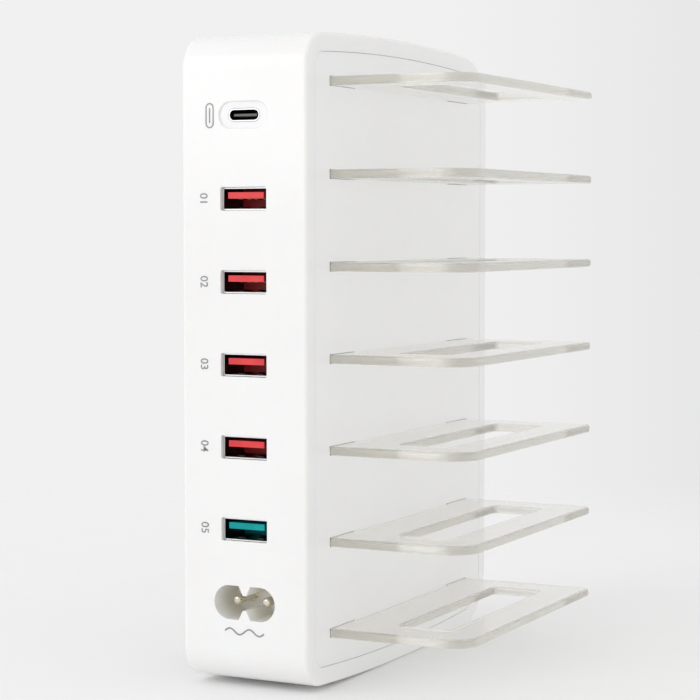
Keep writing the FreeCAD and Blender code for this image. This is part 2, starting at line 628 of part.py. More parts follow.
def make_port_board_screws():
    screws = []
    head_end = PORT_BOARD_BACK + BOARD_SCREW_HEAD_HEIGHT
    for z in PORT_BOARD_SCREWS:
        head = rod_y(BOARD_SCREW_HEAD_RADIUS, PORT_BOARD_BACK, head_end, PORT_X, z)
        shank = rod_y(BOARD_SCREW_RADIUS, PORT_BOARD_BACK - BOARD_SCREW_LENGTH, PORT_BOARD_BACK, PORT_X, z)
        screws.append(join([head, shank]))
    return Part.makeCompound(screws)


def make_charge_chips():
    x0, x1 = PORT_X - CHIP_LENGTH / 2, PORT_X + CHIP_LENGTH / 2
    half = CHIP_WIDTH / 2
    back = PORT_BOARD_BACK + CHIP_HEIGHT
    chips = [block(x0, x1, PORT_BOARD_BACK, back, z - half, z + half) for z in PORT_Z + [OVAL_Z]]
    return Part.makeCompound(chips)


def make_main_board():
    board = block(MAIN_BOARD_UNDERSIDE, BOARD_TOP, BOARD_FRONT, BOARD_BACK, BOARD_LOW, BOARD_HIGH)
    bore = BOARD_SCREW_RADIUS + FIT_GAP
    holes = [rod_x(bore, MAIN_BOARD_UNDERSIDE - OVERCUT, BOARD_TOP + OVERCUT, y, z)
             for y, z in MAIN_BOARD_SCREWS]
    return board.cut(holes)


def make_main_board_screws():
    screws = []
    for y, z in MAIN_BOARD_SCREWS:
        head = rod_x(BOARD_SCREW_HEAD_RADIUS, BOARD_TOP, BOARD_TOP + BOARD_SCREW_HEAD_HEIGHT, y, z)
        shank = rod_x(BOARD_SCREW_RADIUS, BOARD_TOP - BOARD_SCREW_LENGTH, BOARD_TOP, y, z)
        screws.append(join([head, shank]))
    return Part.makeCompound(screws)


# Parts on the main board

def board_block(size, y, z):
    """Box component that stands on the main board, sized (height, along Y, along Z)."""
    height, deep, wide = size
    return block(BOARD_TOP, BOARD_TOP + height, y - deep / 2, y + deep / 2, z - wide / 2, z + wide / 2)


def board_can(radius, height, y, z):
    """Upright can with a rounded top edge."""
    can = rod_x(radius, BOARD_TOP, BOARD_TOP + height, y, z)
    rim = [e for e in can.Edges if e.BoundBox.XMin > BOARD_TOP + height - TOUCH]
    return can.makeFillet(CAN_ROUND, rim)


def board_ring(y, z):
    ring = rod_x(RING_RADIUS, BOARD_TOP, BOARD_TOP + RING_HEIGHT, y, z)
    return ring.cut(rod_x(RING_BORE, BOARD_TOP - OVERCUT, BOARD_TOP + RING_HEIGHT + OVERCUT, y, z))


def transformer_core(y, z):
    """Outer and middle limbs between two yokes, held off the board by the bobbin."""
    y0, y1 = y - CORE_WIDTH / 2, y + CORE_WIDTH / 2
    half = CORE_LENGTH / 2
    inner = half - CORE_YOKE
    core = block(CORE_BOTTOM, CORE_TOP, y0, y1, z - half, z + half)
    windows = []
    for low in (CORE_BOTTOM + CORE_LIMB, CORE_TOP - 2 * CORE_LIMB):
        windows.append(block(low, low + CORE_LIMB, y0 - OVERCUT, y1 + OVERCUT, z - inner, z + inner))
    return core.cut(windows)


def transformer_winding(y, z):
    """Taped winding round the middle limb, on a bobbin with feet down to the board."""
    gap = WINDING_GAP
    reach = CORE_LENGTH / 2 - CORE_YOKE - gap
    half = WINDING_WIDTH / 2
    core_half = CORE_WIDTH / 2 + gap
    low = CORE_BOTTOM + CORE_LIMB + gap
    high = CORE_TOP - CORE_LIMB - gap
    body = block(low, high, y - half, y + half, z - reach, z + reach)
    feet = []
    for y0, y1 in ((y - half, y - core_half), (y + core_half, y + half)):
        feet.append(block(BOARD_TOP, low, y0, y1, z - reach, z + reach))
    bore_low = CORE_BOTTOM + 2 * CORE_LIMB - gap
    bore_high = CORE_TOP - 2 * CORE_LIMB + gap
    bore = block(bore_low, bore_high, y - core_half, y + core_half, z - reach - OVERCUT, z + reach + OVERCUT)
    return join([body] + feet).cut(bore)


def safety_capacitor(y, z):
    """Disc capacitor on edge over its two legs."""
    centre = BOARD_TOP + DISC_LEG_LENGTH + DISC_RADIUS
    disc = rod_y(DISC_RADIUS, y - DISC_THICKNESS / 2, y + DISC_THICKNESS / 2, centre, z)
    leg = DISC_LEG_WIDTH / 2
    legs = []
    for side in SIDES:
        leg_z = z + side * DISC_LEG_PITCH / 2
        legs.append(block(BOARD_TOP, centre, y - leg, y + leg, leg_z - leg, leg_z + leg))
    return join([disc] + legs)


def heat_sink(y, z):
    return board_block((COMPONENT_ROOM - SINK_HEADROOM, SINK_LENGTH, SINK_THICKNESS), y, z)


def power_device(y, z):
    """Device clipped to the lower side of a heat sink."""
    return board_block(POWER_SIZE, y, z - (SINK_THICKNESS + POWER_SIZE[2]) / 2)


def lead(x, z, y0, landing):
    """Insulated lead from a point behind the panel, along +Y and down to the main board."""
    bend = LEAD_BEND_SHARE * min(landing - y0, x - BOARD_TOP)
    inside = bend * (1 - math.sqrt(0.5))
    elbow_start = V(x, landing - bend, z)
    elbow_middle = V(x - inside, landing - inside, z)
    elbow_end = V(x - bend, landing, z)
    path = Part.Wire([
        Part.LineSegment(V(x, y0, z), elbow_start).toShape(),
        Part.Arc(elbow_start, elbow_middle, elbow_end).toShape(),
        Part.LineSegment(elbow_end, V(BOARD_TOP, landing, z)).toShape(),
    ])
    ring = Part.Wire([Part.Circle(V(x, y0, z), ALONG_Y, LEAD_RADIUS).toShape()])
    return path.makePipeShell([ring], True, False)


# Layout and output

def main_board_parts():
    """Mains side at the lower end, output side at the upper end."""
    sink_y = BOARD_BACK - SINK_FROM_BACK - SINK_LENGTH / 2
    ring_y = BOARD_FRONT + RING_FROM_FRONT
    mains_z = BOARD_LOW + MAINS_ROW_UP
    switch_z = BOARD_LOW + SWITCH_ROW_UP
    transformer_z = BOARD_LOW + TRANSFORMER_UP
    rectifier_z = BOARD_HIGH - RECTIFIER_ROW_DOWN
    parts = {
        "fuse": board_block(FUSE_SIZE, BOARD_FRONT + FUSE_FROM_FRONT, mains_z),
        "filter_capacitor": board_block(FILTER_SIZE, MIDDLE_Y, mains_z),
        "bridge_rectifier": board_block(BRIDGE_SIZE, BOARD_BACK - BRIDGE_FROM_BACK, mains_z),
        "mains_choke": board_ring(ring_y, switch_z),
        "primary_heat_sink": heat_sink(sink_y, switch_z),
        "switching_transistor": power_device(sink_y, switch_z),
        "transformer_core": transformer_core(MIDDLE_Y, transformer_z),
        "transformer_winding": transformer_winding(MIDDLE_Y, transformer_z),
        "safety_capacitor": safety_capacitor(BOARD_BACK - DISC_FROM_BACK, transformer_z),
        "output_choke": board_ring(ring_y, rectifier_z),
        "output_heat_sink": heat_sink(sink_y, rectifier_z),
        "output_rectifier": power_device(sink_y, rectifier_z),
    }
    bulk_height = COMPONENT_ROOM - BULK_HEADROOM
    output_height = COMPONENT_ROOM - OUTPUT_HEADROOM
    for i, side in enumerate(SIDES):
        bulk_y = MIDDLE_Y + side * BULK_PITCH / 2
        output_y = MIDDLE_Y + side * OUTPUT_PITCH / 2
        bulk = board_can(BULK_RADIUS, bulk_height, bulk_y, BOARD_LOW + BULK_ROW_UP)
        output = board_can(OUTPUT_RADIUS, output_height, output_y, BOARD_HIGH - OUTPUT_ROW_DOWN)
        parts["bulk_capacitor_%d" % (i + 1)] = bulk
        parts["output_capacitor_%d" % (i + 1)] = output
    return parts


def make_leads():
    leads = {}
    output_x = PORT_X - OUTPUT_LEAD_OFFSET
    output_landing = BOARD_FRONT + OUTPUT_LEAD_LANDING
    for i, side in enumerate(SIDES):
        pin_x = PORT_X + side * INLET_PITCH / 2
        mains_landing = BOARD_FRONT + MAINS_LEAD_LANDINGS[i]
        output_z = OUTPUT_LEAD_Z + side * OUTPUT_LEAD_SPREAD
        leads["mains_lead_%d" % (i + 1)] = lead(pin_x, INLET_Z, PIN_TAIL_END, mains_landing)
        leads["output_lead_%d" % (i + 1)] = lead(output_x, output_z, PORT_BOARD_BACK, output_landing)
    return leads


def make_all():
    pieces = {
        "main_shell": make_main_shell(),
        "divider_plate": make_divider_plate(),
        "base_plate": make_base_plate(),
        "case_screws": make_case_screws(),
        "oval_port_shell": make_oval_shell(),
        "oval_port_tongue": make_oval_tongue(),
        "oval_port_contacts": make_oval_contacts(),
        "port_board": make_port_board(),
        "port_board_screws": make_port_board_screws(),
        "charge_chips": make_charge_chips(),
        "main_board": make_main_board(),
        "main_board_screws": make_main_board_screws(),
    }
    for i, z in enumerate(DIVIDER_Z):
        pieces["divider_%d" % (i + 1)] = make_divider(z)
    for i, z in enumerate(PORT_Z):
        pieces["port_shell_%d" % (i + 1)] = make_port_shell(z)
        pieces["port_tongue_%d" % (i + 1)] = make_port_tongue(z)
        pieces["port_contacts_%d" % (i + 1)] = make_port_contacts(z)
    for i, side in enumerate(SIDES):
        pieces["inlet_pin_%d" % (i + 1)] = make_inlet_pin(side)
    for i, (y, z) in enumerate(FOOT_PLACES):
        pieces["foot_%d" % (i + 1)] = make_foot(y, z)
    pieces.update(main_board_parts())
    pieces.update(make_leads())
    return pieces


os.makedirs("parts", exist_ok=True)
for name, shape in make_all().items():
    shape.translate(SHIFT)
    shape.exportStep("parts/%s.step" % name)
    state = "valid" if shape.isValid() else "INVALID"
    print(name, len(shape.Solids), "solid", round(shape.Volume, 1), "mm3", state)
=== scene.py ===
# %% [markdown]
# # A charging station with clear dividers
# A white case stands on its lower arched end. A narrow panel carries the sockets, and seven clear
# plates stick out of one broad side, so that phones and tablets can stand between them.
# The exact solids come from the CAD model. This lesson dresses them: it adds the printed marks and
# the spring fingers, gives each piece its finish, and sets up a plain studio.

# %% Load the solids
import json
import math

import bmesh
import bpy
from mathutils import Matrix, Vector


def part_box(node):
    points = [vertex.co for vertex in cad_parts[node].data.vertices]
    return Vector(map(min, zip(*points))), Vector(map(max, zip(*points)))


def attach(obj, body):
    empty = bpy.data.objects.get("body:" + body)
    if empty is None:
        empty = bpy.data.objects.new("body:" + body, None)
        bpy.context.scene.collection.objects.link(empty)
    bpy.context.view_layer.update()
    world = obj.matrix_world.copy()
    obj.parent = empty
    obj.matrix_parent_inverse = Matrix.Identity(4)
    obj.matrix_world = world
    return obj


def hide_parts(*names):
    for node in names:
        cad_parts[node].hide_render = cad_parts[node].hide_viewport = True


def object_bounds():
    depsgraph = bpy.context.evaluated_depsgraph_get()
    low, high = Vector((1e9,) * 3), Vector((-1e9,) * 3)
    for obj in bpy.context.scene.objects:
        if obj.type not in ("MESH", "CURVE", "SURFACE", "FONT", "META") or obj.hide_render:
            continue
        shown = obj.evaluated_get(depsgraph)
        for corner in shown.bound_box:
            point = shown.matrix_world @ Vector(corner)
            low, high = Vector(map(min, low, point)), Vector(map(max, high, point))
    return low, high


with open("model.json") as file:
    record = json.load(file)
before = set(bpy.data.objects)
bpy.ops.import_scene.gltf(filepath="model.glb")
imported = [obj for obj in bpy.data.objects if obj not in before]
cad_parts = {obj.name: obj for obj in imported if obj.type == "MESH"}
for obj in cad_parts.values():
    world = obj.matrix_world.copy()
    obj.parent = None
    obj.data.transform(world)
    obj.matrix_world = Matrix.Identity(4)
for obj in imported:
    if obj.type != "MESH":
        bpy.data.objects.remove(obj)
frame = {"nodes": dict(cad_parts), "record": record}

MM = 0.001
cad_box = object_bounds()
pieces = frame["nodes"]
slot_of = {s["node"]: s["material_slot"] for s in frame["record"]["subparts"]}
bpy.context.scene.view_settings.view_transform = "Standard"
size_mm = [round((b - a) / MM, 1) for a, b in zip(*cad_box)]
print(len(pieces), "solids loaded, the whole station measures", size_mm, "mm")

# %% [markdown]
# ## Camera
# The photograph was taken from the front right with a long lens, a little above the middle of the
# case, so the sides stay almost parallel. A camera can be placed by eye, but fitting it to known
# points, such as socket centres and divider corners, gives a match to about a pixel.

# %% Set the camera
FOCAL_PIXELS = 2053.87
IMAGE_PIXELS = 700
SENSOR = 36.0
TURN = 26.658
TILT_DOWN = 3.375
CAMERA_PLACE = (0.23867, -0.50983, 0.11841)
NEAREST, FARTHEST = 0.01, 20

camera_data = bpy.data.cameras.new("photo_camera")
camera_data.sensor_width = SENSOR
camera_data.lens = FOCAL_PIXELS / IMAGE_PIXELS * SENSOR
camera_data.clip_start = NEAREST
camera_data.clip_end = FARTHEST
camera = bpy.data.objects.new("photo_camera", camera_data)
camera.location = CAMERA_PLACE
camera.rotation_euler = (math.radians(90 - TILT_DOWN), 0, math.radians(TURN))
bpy.context.scene.collection.objects.link(camera)
bpy.context.scene.camera = camera
print("lens", round(camera_data.lens, 1), "mm")

# %% [markdown]
# ## Studio
# The object is white on a pale ground, which is the hardest case for light: everything wants to
# merge. Even light comes from all round. A big soft lamp at the front left makes the panel the
# brightest face, and a faint one at the right lifts the divider side, which stays a shade greyer.
# The ground could be a curved sheet, but then views from behind would look into its back. So the
# floor is a wide disc that fades into the background for the rays that only look at it, while it
# still catches shadow and light.

# %% Helpers for node trees
def add_node(tree, kind, **values):
    """Adds a node and sets its own options or its unlinked inputs by name."""
    made = tree.nodes.new(kind)
    for name, value in values.items():
        label = name.replace("_", " ")
        if label in made.inputs:
            made.inputs[label].default_value = value
        else:
            setattr(made, name, value)
    return made


def wire(tree, *pairs):
    """Links outputs to inputs, given in pairs."""
    for source, target in pairs:
        tree.links.new(source, target)


def smooth_range(tree, source, low, high, start=0.0, end=1.0):
    """Maps a value softly from one range to another and returns the output."""
    made = add_node(tree, "ShaderNodeMapRange", interpolation_type="SMOOTHSTEP")
    for index, value in enumerate((low, high, start, end), 1):
        made.inputs[index].default_value = value
    wire(tree, (source, made.inputs[0]))
    return made.outputs[0]


def looking_rays(tree):
    """One for rays that look at the studio: from the camera, a mirror or clear plastic."""
    rays = add_node(tree, "ShaderNodeLightPath")
    first = add_node(tree, "ShaderNodeMath", operation="MAXIMUM")
    both = add_node(tree, "ShaderNodeMath", operation="MAXIMUM")
    wire(tree, (rays.outputs["Is Camera Ray"], first.inputs[0]),
         (rays.outputs["Is Glossy Ray"], first.inputs[1]),
         (first.outputs[0], both.inputs[0]),
         (rays.outputs["Is Transmission Ray"], both.inputs[1]))
    return both.outputs[0]


def mixed_colour(tree, factor, first, second):
    """Mixes two colours, each given as a value or as an output."""
    made = add_node(tree, "ShaderNodeMix", data_type="RGBA")
    wire(tree, (factor, made.inputs[0]))
    for index, colour in ((6, first), (7, second)):
        if isinstance(colour, tuple):
            made.inputs[index].default_value = colour
        else:
            wire(tree, (colour, made.inputs[index]))
    return made.outputs[2]


def grey(value, warm=0.0):
    """A grey, or a warm grey with a little more red than blue."""
    return (value * (1 + warm), value, value * (1 - warm), 1)


print("helpers ready")

# %% Light from all round
WORLD_LIGHT = 0.90
# The backdrop seen behind the case is painted lighter towards the left and darker towards the
# right, a painted falloff of light; the light it gives stays even.
BACK_LEFT = grey(0.878)
BACK_RIGHT = grey(0.788)
BACK_CHANGE = (0.02, 0.22)

world = bpy.data.worlds.new("pale_studio")
bpy.context.scene.world = world
world.use_nodes = True
tree = world.node_tree
tree.nodes.clear()
direction = add_node(tree, "ShaderNodeTexCoord")
across = add_node(tree, "ShaderNodeVectorMath", operation="DOT_PRODUCT")
turn = math.radians(TURN)
across.inputs[1].default_value = (math.cos(turn), math.sin(turn), 0)
wire(tree, (direction.outputs["Generated"], across.inputs[0]))
side_share = smooth_range(tree, across.outputs["Value"], *BACK_CHANGE)
seen = add_node(tree, "ShaderNodeBackground", Strength=1.0)
wire(tree, (mixed_colour(tree, side_share, BACK_LEFT, BACK_RIGHT), seen.inputs["Color"]))
glow = add_node(tree, "ShaderNodeBackground", Color=(1, 1, 1, 1), Strength=WORLD_LIGHT)
choose = add_node(tree, "ShaderNodeMixShader")
world_out = add_node(tree, "ShaderNodeOutputWorld")
wire(tree, (looking_rays(tree), choose.inputs[0]), (glow.outputs[0], choose.inputs[1]),
     (seen.outputs[0], choose.inputs[2]), (choose.outputs[0], world_out.inputs["Surface"]))
print("world light", WORLD_LIGHT)

# %% Lamps
LAMP_DISTANCE = 1.3
LAMP_SIZE = 0.9
CASE_MIDDLE = Vector((0, 0, 0.085))


def soft_lamp(name, direction, power):
    """A square soft lamp that faces the middle of the case."""
    data = bpy.data.lights.new(name, "AREA")
    data.size = LAMP_SIZE
    data.energy = power
    lamp = bpy.data.objects.new(name, data)
    toward = Vector(direction).normalized()
    lamp.location = CASE_MIDDLE + toward * LAMP_DISTANCE
    lamp.rotation_euler = toward.to_track_quat("Z", "Y").to_euler()
    bpy.context.scene.collection.objects.link(lamp)
    return lamp


lamps = [
    soft_lamp("front_left_lamp", direction=(-0.35, -0.70, 0.32), power=3.3),
    soft_lamp("right_lamp", direction=(0.9, -0.3, 0.3), power=0.3),
]
print(len(lamps), "lamps")

# %% Floor
FLOOR_RADIUS = 3.0
FLOOR_SIDES = 96

floor_mesh = bpy.data.meshes.new("floor")
form = bmesh.new()
bmesh.ops.create_circle(form, cap_ends=True, segments=FLOOR_SIDES, radius=FLOOR_RADIUS)
form.to_mesh(floor_mesh)
form.free()
floor = bpy.data.objects.new("floor", floor_mesh)
bpy.context.scene.collection.objects.link(floor)
print("floor disc", 2 * FLOOR_RADIUS, "m across")

# %% Floor paper
FADE_START = 0.16
FADE_END = 0.46
FIBRE_SCALE = 60.0
PAPER_TONES = (grey(0.90), grey(0.915))

floor_finish = bpy.data.materials.new("floor_paper")
floor_finish.use_nodes = True
tree = floor_finish.node_tree
tree.nodes.clear()
place = add_node(tree, "ShaderNodeNewGeometry")
reach = add_node(tree, "ShaderNodeVectorMath", operation="LENGTH")
wire(tree, (place.outputs["Position"], reach.inputs[0]))
far = smooth_range(tree, reach.outputs["Value"], FADE_START, FADE_END)
fade = add_node(tree, "ShaderNodeMath", operation="MULTIPLY")
wire(tree, (far, fade.inputs[0]), (looking_rays(tree), fade.inputs[1]))
fibre = add_node(tree, "ShaderNodeTexNoise", Scale=FIBRE_SCALE)
wire(tree, (place.outputs["Position"], fibre.inputs["Vector"]))
paper = add_node(tree, "ShaderNodeBsdfDiffuse")
paper_colour = mixed_colour(tree, fibre.outputs["Fac"], *PAPER_TONES)
clear = add_node(tree, "ShaderNodeBsdfTransparent")
lay = add_node(tree, "ShaderNodeMixShader")
floor_out = add_node(tree, "ShaderNodeOutputMaterial")
wire(tree, (paper_colour, paper.inputs["Color"]), (fade.outputs[0], lay.inputs[0]),
     (paper.outputs[0], lay.inputs[1]), (clear.outputs[0], lay.inputs[2]),
     (lay.outputs[0], floor_out.inputs["Surface"]))
floor_mesh.materials.append(floor_finish)
print("floor fades from", FADE_START, "to", FADE_END, "m")

# %% [markdown]
# ## Shared surface effects
# Nothing that comes out of a mould is one flat colour. Three effects return on almost every piece:
# a slow drift of the tone, a fine grain that breaks up the gloss, and hairline scuffs from
# handling. Each could be rebuilt in every material, but a node group keeps it in one place, and
# each material only sets how large and how strong the effect is.

# %% Group: slow drift of the tone
DRIFT_BAND = (0.35, 0.68)


def open_group(name, inputs, outputs):
    """Starts a node group with named sockets and returns its tree and its two end nodes."""
    group = bpy.data.node_groups.new(name, "ShaderNodeTree")
    for label, kind, value in inputs:
        kind = "NodeSocket" + kind
        socket = group.interface.new_socket(label, in_out="INPUT", socket_type=kind)
        socket.default_value = value
    for label, kind in outputs:
        group.interface.new_socket(label, in_out="OUTPUT", socket_type="NodeSocket" + kind)
    return group, group.nodes.new("NodeGroupInput"), group.nodes.new("NodeGroupOutput")


def object_space(tree):
    """The place on the object, in metres, as an output."""
    return add_node(tree, "ShaderNodeTexCoord").outputs["Object"]


drift_group, given, result = open_group(
    "tone_drift",
    [("Main", "Color", grey(0.8)), ("Other", "Color", grey(0.7)), ("Scale", "Float", 40.0)],
    [("Color", "Color")])
cloud = add_node(drift_group, "ShaderNodeTexNoise", Detail=3.0, Roughness=0.55)
wire(drift_group, (object_space(drift_group), cloud.inputs["Vector"]),
     (given.outputs["Scale"], cloud.inputs["Scale"]))
mask = smooth_range(drift_group, cloud.outputs["Fac"], *DRIFT_BAND)
drifted = mixed_colour(drift_group, mask, given.outputs["Main"], given.outputs["Other"])
wire(drift_group, (drifted, result.inputs["Color"]))
print("group", drift_group.name)

# %% Group: fine grain
grain_group, given, result = open_group(
    "fine_grain",
    [("Scale", "Float", 2000.0), ("Stretch", "Vector", (1, 1, 1))],
    [("Height", "Float")])
stretch = add_node(grain_group, "ShaderNodeVectorMath", operation="MULTIPLY")
speckle = add_node(grain_group, "ShaderNodeTexNoise", Detail=2.0)
wire(grain_group, (object_space(grain_group), stretch.inputs[0]),
     (given.outputs["Stretch"], stretch.inputs[1]),
     (stretch.outputs[0], speckle.inputs["Vector"]),
     (given.outputs["Scale"], speckle.inputs["Scale"]),
     (speckle.outputs["Fac"], result.inputs["Height"]))
print("group", grain_group.name)

# %% Group: hairline scuffs
SCUFF_TURN = (0.5, 0.9, 0.35)
SCUFF_STRETCH = (1, 0.06, 1)
SCUFF_BAND = (0.56, 0.72)

scuff_group, given, result = open_group(
    "hairline_scuffs",
    [("Scale", "Float", 260.0), ("Smooth", "Float", 0.1), ("Scuffed", "Float", 0.25)],
    [("Roughness", "Float")])
turned = add_node(scuff_group, "ShaderNodeMapping", Rotation=SCUFF_TURN, Scale=SCUFF_STRETCH)
hair = add_node(scuff_group, "ShaderNodeTexNoise", Detail=4.0, Roughness=0.7)
wire(scuff_group, (object_space(scuff_group), turned.inputs["Vector"]),
     (turned.outputs["Vector"], hair.inputs["Vector"]),
     (given.outputs["Scale"], hair.inputs["Scale"]))
line = smooth_range(scuff_group, hair.outputs["Fac"], *SCUFF_BAND)
blend = add_node(scuff_group, "ShaderNodeMix", data_type="FLOAT")
wire(scuff_group, (line, blend.inputs[0]), (given.outputs["Smooth"], blend.inputs[2]),
     (given.outputs["Scuffed"], blend.inputs[3]), (blend.outputs[0], result.inputs["Roughness"]))
print("group", scuff_group.name)

# %% [markdown]
# ## A finish from the three effects
# Most pieces are solid plastic, metal or rubber. One function builds such a finish: the drift feeds
# the colour, the scuffs feed the roughness, and the grain goes through a bump node to the normal.
# Values that are the same all over, such as how metallic a piece is, sit on the shader itself.

# %% The finish builder
SPREAD = (1.0, 0.8, 0.55)
SPREAD_SCALE = 1.2 * MM
finishes = {}


def place_group(tree, group, **values):
    """Places a node group in a material with its own values."""
    made = add_node(tree, "ShaderNodeGroup", node_tree=group)
    for name, value in values.items():
        made.inputs[name].default_value = value
    return made


def make_finish(slot, main, other, smooth, scuffed, drift=40.0, grain=2000.0, bump=0.05,
                depth=0.02, stretch=(1, 1, 1), scuff=260.0, metal=0.0, milky=0.0, shine=0.5):
    """A solid finish; bump is its strength, depth the height of the grain in millimetres."""
    material = bpy.data.materials.new(slot)
    material.use_nodes = True
    tree = material.node_tree
    shader = tree.nodes["Principled BSDF"]
    tone = place_group(tree, drift_group, Main=main, Other=other, Scale=drift)
    hairs = place_group(tree, scuff_group, Scale=scuff, Smooth=smooth, Scuffed=scuffed)
    fine = place_group(tree, grain_group, Scale=grain, Stretch=stretch)
    relief = add_node(tree, "ShaderNodeBump", Strength=bump, Distance=depth * MM)
    wire(tree, (tone.outputs["Color"], shader.inputs["Base Color"]),
         (hairs.outputs["Roughness"], shader.inputs["Roughness"]),
         (fine.outputs["Height"], relief.inputs["Height"]),
         (relief.outputs["Normal"], shader.inputs["Normal"]))
    shader.inputs["Metallic"].default_value = metal
    shader.inputs["Specular IOR Level"].default_value = shine
    shader.inputs["Subsurface Weight"].default_value = milky
    shader.inputs["Subsurface Radius"].default_value = SPREAD
    shader.inputs["Subsurface Scale"].default_value = SPREAD_SCALE
    finishes[slot] = material
    return material


print("finish builder ready")

# %% [markdown]
# ## White case
# The shell and the divider plate are moulded in white plastic with a polished tool, so they shine.
# A mirror-smooth white would look like china. Real mouldings have a faint ripple, called orange
# peel, of about a millimetre, and the tone is not quite even. The base plate comes from an etched
# tool, which gives a dull, sandy skin. Inside the mains inlet the white is painted with a beige
# shade, more of it deeper in. A box-shaped mask in the shell's material paints this shade.

# %% Case finishes
make_finish("case_white", grey(0.89, 0.003), grey(0.87, 0.006), 0.16, 0.24, drift=18.0,
            grain=700.0, bump=0.06, depth=0.03, milky=0.4)
make_finish("base_white", grey(0.80, 0.004), grey(0.77, 0.006), 0.52, 0.60, drift=30.0,
            grain=2600.0, bump=0.35, depth=0.04)
print("case finishes:", list(finishes))

# %% Painted shade inside the inlet
# Painted shade: the white inside the inlet turns beige and a little darker, more so deeper in.
INLET_SHADE = (0.88, 0.868, 0.815, 1)
INLET_SHADE_HALF = Vector((9.6, 6.6, 5.2)) * MM
INLET_SHADE_FROM_PANEL = 0.1 * MM
INLET_SHADE_EDGE = (0.99, 1.0)
INLET_SHADE_DEEPENS = (-1.0, 0.0)

pin_boxes = [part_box("inlet_pin_%d" % index) for index in (1, 2)]
inlet_middle = sum((corner for box in pin_boxes for corner in box), Vector()) / 4
inlet_middle.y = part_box("main_shell")[0].y + INLET_SHADE_FROM_PANEL + INLET_SHADE_HALF.y
tree = finishes["case_white"].node_tree
shader = tree.nodes["Principled BSDF"]
white = shader.inputs["Base Color"].links[0].from_socket
away = add_node(tree, "ShaderNodeVectorMath", operation="SUBTRACT")
away.inputs[1].default_value = inlet_middle
share = add_node(tree, "ShaderNodeVectorMath", operation="DIVIDE")
share.inputs[1].default_value = INLET_SHADE_HALF
depth = add_node(tree, "ShaderNodeSeparateXYZ")
size = add_node(tree, "ShaderNodeVectorMath", operation="ABSOLUTE")
axes = add_node(tree, "ShaderNodeSeparateXYZ")
larger = add_node(tree, "ShaderNodeMath", operation="MAXIMUM")
largest = add_node(tree, "ShaderNodeMath", operation="MAXIMUM")
wire(tree, (object_space(tree), away.inputs[0]), (away.outputs[0], share.inputs[0]),
     (share.outputs[0], size.inputs[0]), (size.outputs[0], axes.inputs[0]),
     (axes.outputs["X"], larger.inputs[0]), (axes.outputs["Y"], larger.inputs[1]),
     (larger.outputs[0], largest.inputs[0]), (axes.outputs["Z"], largest.inputs[1]),
     (share.outputs[0], depth.inputs[0]))
# The painted shade fills the box round the inlet and grows from the mouth inwards.
in_inlet = smooth_range(tree, largest.outputs[0], *INLET_SHADE_EDGE, 1.0, 0.0)
deeper = smooth_range(tree, depth.outputs["Y"], *INLET_SHADE_DEEPENS)
inlet_shade_share = add_node(tree, "ShaderNodeMath", operation="MULTIPLY")
wire(tree, (in_inlet, inlet_shade_share.inputs[0]), (deeper, inlet_shade_share.inputs[1]))
wire(tree, (mixed_colour(tree, inlet_shade_share.outputs[0], white, INLET_SHADE), shader.inputs["Base Color"]))
print("inlet lining round", [round(c / MM, 1) for c in inlet_middle], "mm")

# %% [markdown]
# ## Clear plastic
# The dividers are cut from clear acrylic. Its broad faces are pale and a little dulled by use.
# Along the sheet the light runs through much more plastic, so the cut edges look khaki.
# Painting the edges would be wrong from other sides. The sheet is real clear plastic here, with an
# absorbing inside, so the edges darken by themselves. The cut edges are also rougher than the
# faces, and a mask from the surface direction tells the two apart. Lamps and soft light go straight
# through, because tracing them through bent glass would take very many samples.

# %% Clear sheet: faces and cut edges
SHEET_INDEX = 1.49
FACE_TONES = {"Main": (0.95, 0.935, 0.905, 1), "Other": (0.94, 0.925, 0.89, 1), "Scale": 30.0}
FACE_SCUFFS = {"Scale": 320.0, "Smooth": 0.12, "Scuffed": 0.18}
EDGE_COLOUR = (1.0, 0.99, 0.95, 1)
EDGE_SCUFFS = {"Scale": 400.0, "Smooth": 0.35, "Scuffed": 0.38}
EDGE_GRAIN = {"Scale": 400.0, "Stretch": (1, 1, 0.15)}
EDGE_BUMP = 0.01
EDGE_BUMP_DEPTH = 0.03 * MM
EDGE_STARTS = (0.85, 0.99)

sheet = bpy.data.materials.new("clear_sheet")
sheet.use_nodes = True
tree = sheet.node_tree
shader = tree.nodes["Principled BSDF"]
tone = place_group(tree, drift_group, **FACE_TONES)
broad = place_group(tree, scuff_group, **FACE_SCUFFS)
sawn = place_group(tree, scuff_group, **EDGE_SCUFFS)
cut = place_group(tree, grain_group, **EDGE_GRAIN)
facing = add_node(tree, "ShaderNodeSeparateXYZ")
flat = add_node(tree, "ShaderNodeMath", operation="ABSOLUTE")
wire(tree, (add_node(tree, "ShaderNodeTexCoord").outputs["Normal"], facing.inputs[0]),
     (facing.outputs["Z"], flat.inputs[0]))
edge_only = smooth_range(tree, flat.outputs[0], *EDGE_STARTS, 1.0, 0.0)
dull = add_node(tree, "ShaderNodeMix", data_type="FLOAT")
ripple = add_node(tree, "ShaderNodeMath", operation="MULTIPLY")
relief = add_node(tree, "ShaderNodeBump", Strength=EDGE_BUMP, Distance=EDGE_BUMP_DEPTH)
bare = mixed_colour(tree, edge_only, tone.outputs["Color"], EDGE_COLOUR)
wire(tree, (bare, shader.inputs["Base Color"]),
     (edge_only, dull.inputs[0]), (broad.outputs["Roughness"], dull.inputs[2]),
     (sawn.outputs["Roughness"], dull.inputs[3]), (dull.outputs[0], shader.inputs["Roughness"]),
     (cut.outputs["Height"], ripple.inputs[0]), (edge_only, ripple.inputs[1]),
     (ripple.outputs[0], relief.inputs["Height"]),
     (relief.outputs["Normal"], shader.inputs["Normal"]))
shader.inputs["Transmission Weight"].default_value = 1.0
shader.inputs["IOR"].default_value = SHEET_INDEX
finishes["clear_sheet"] = sheet
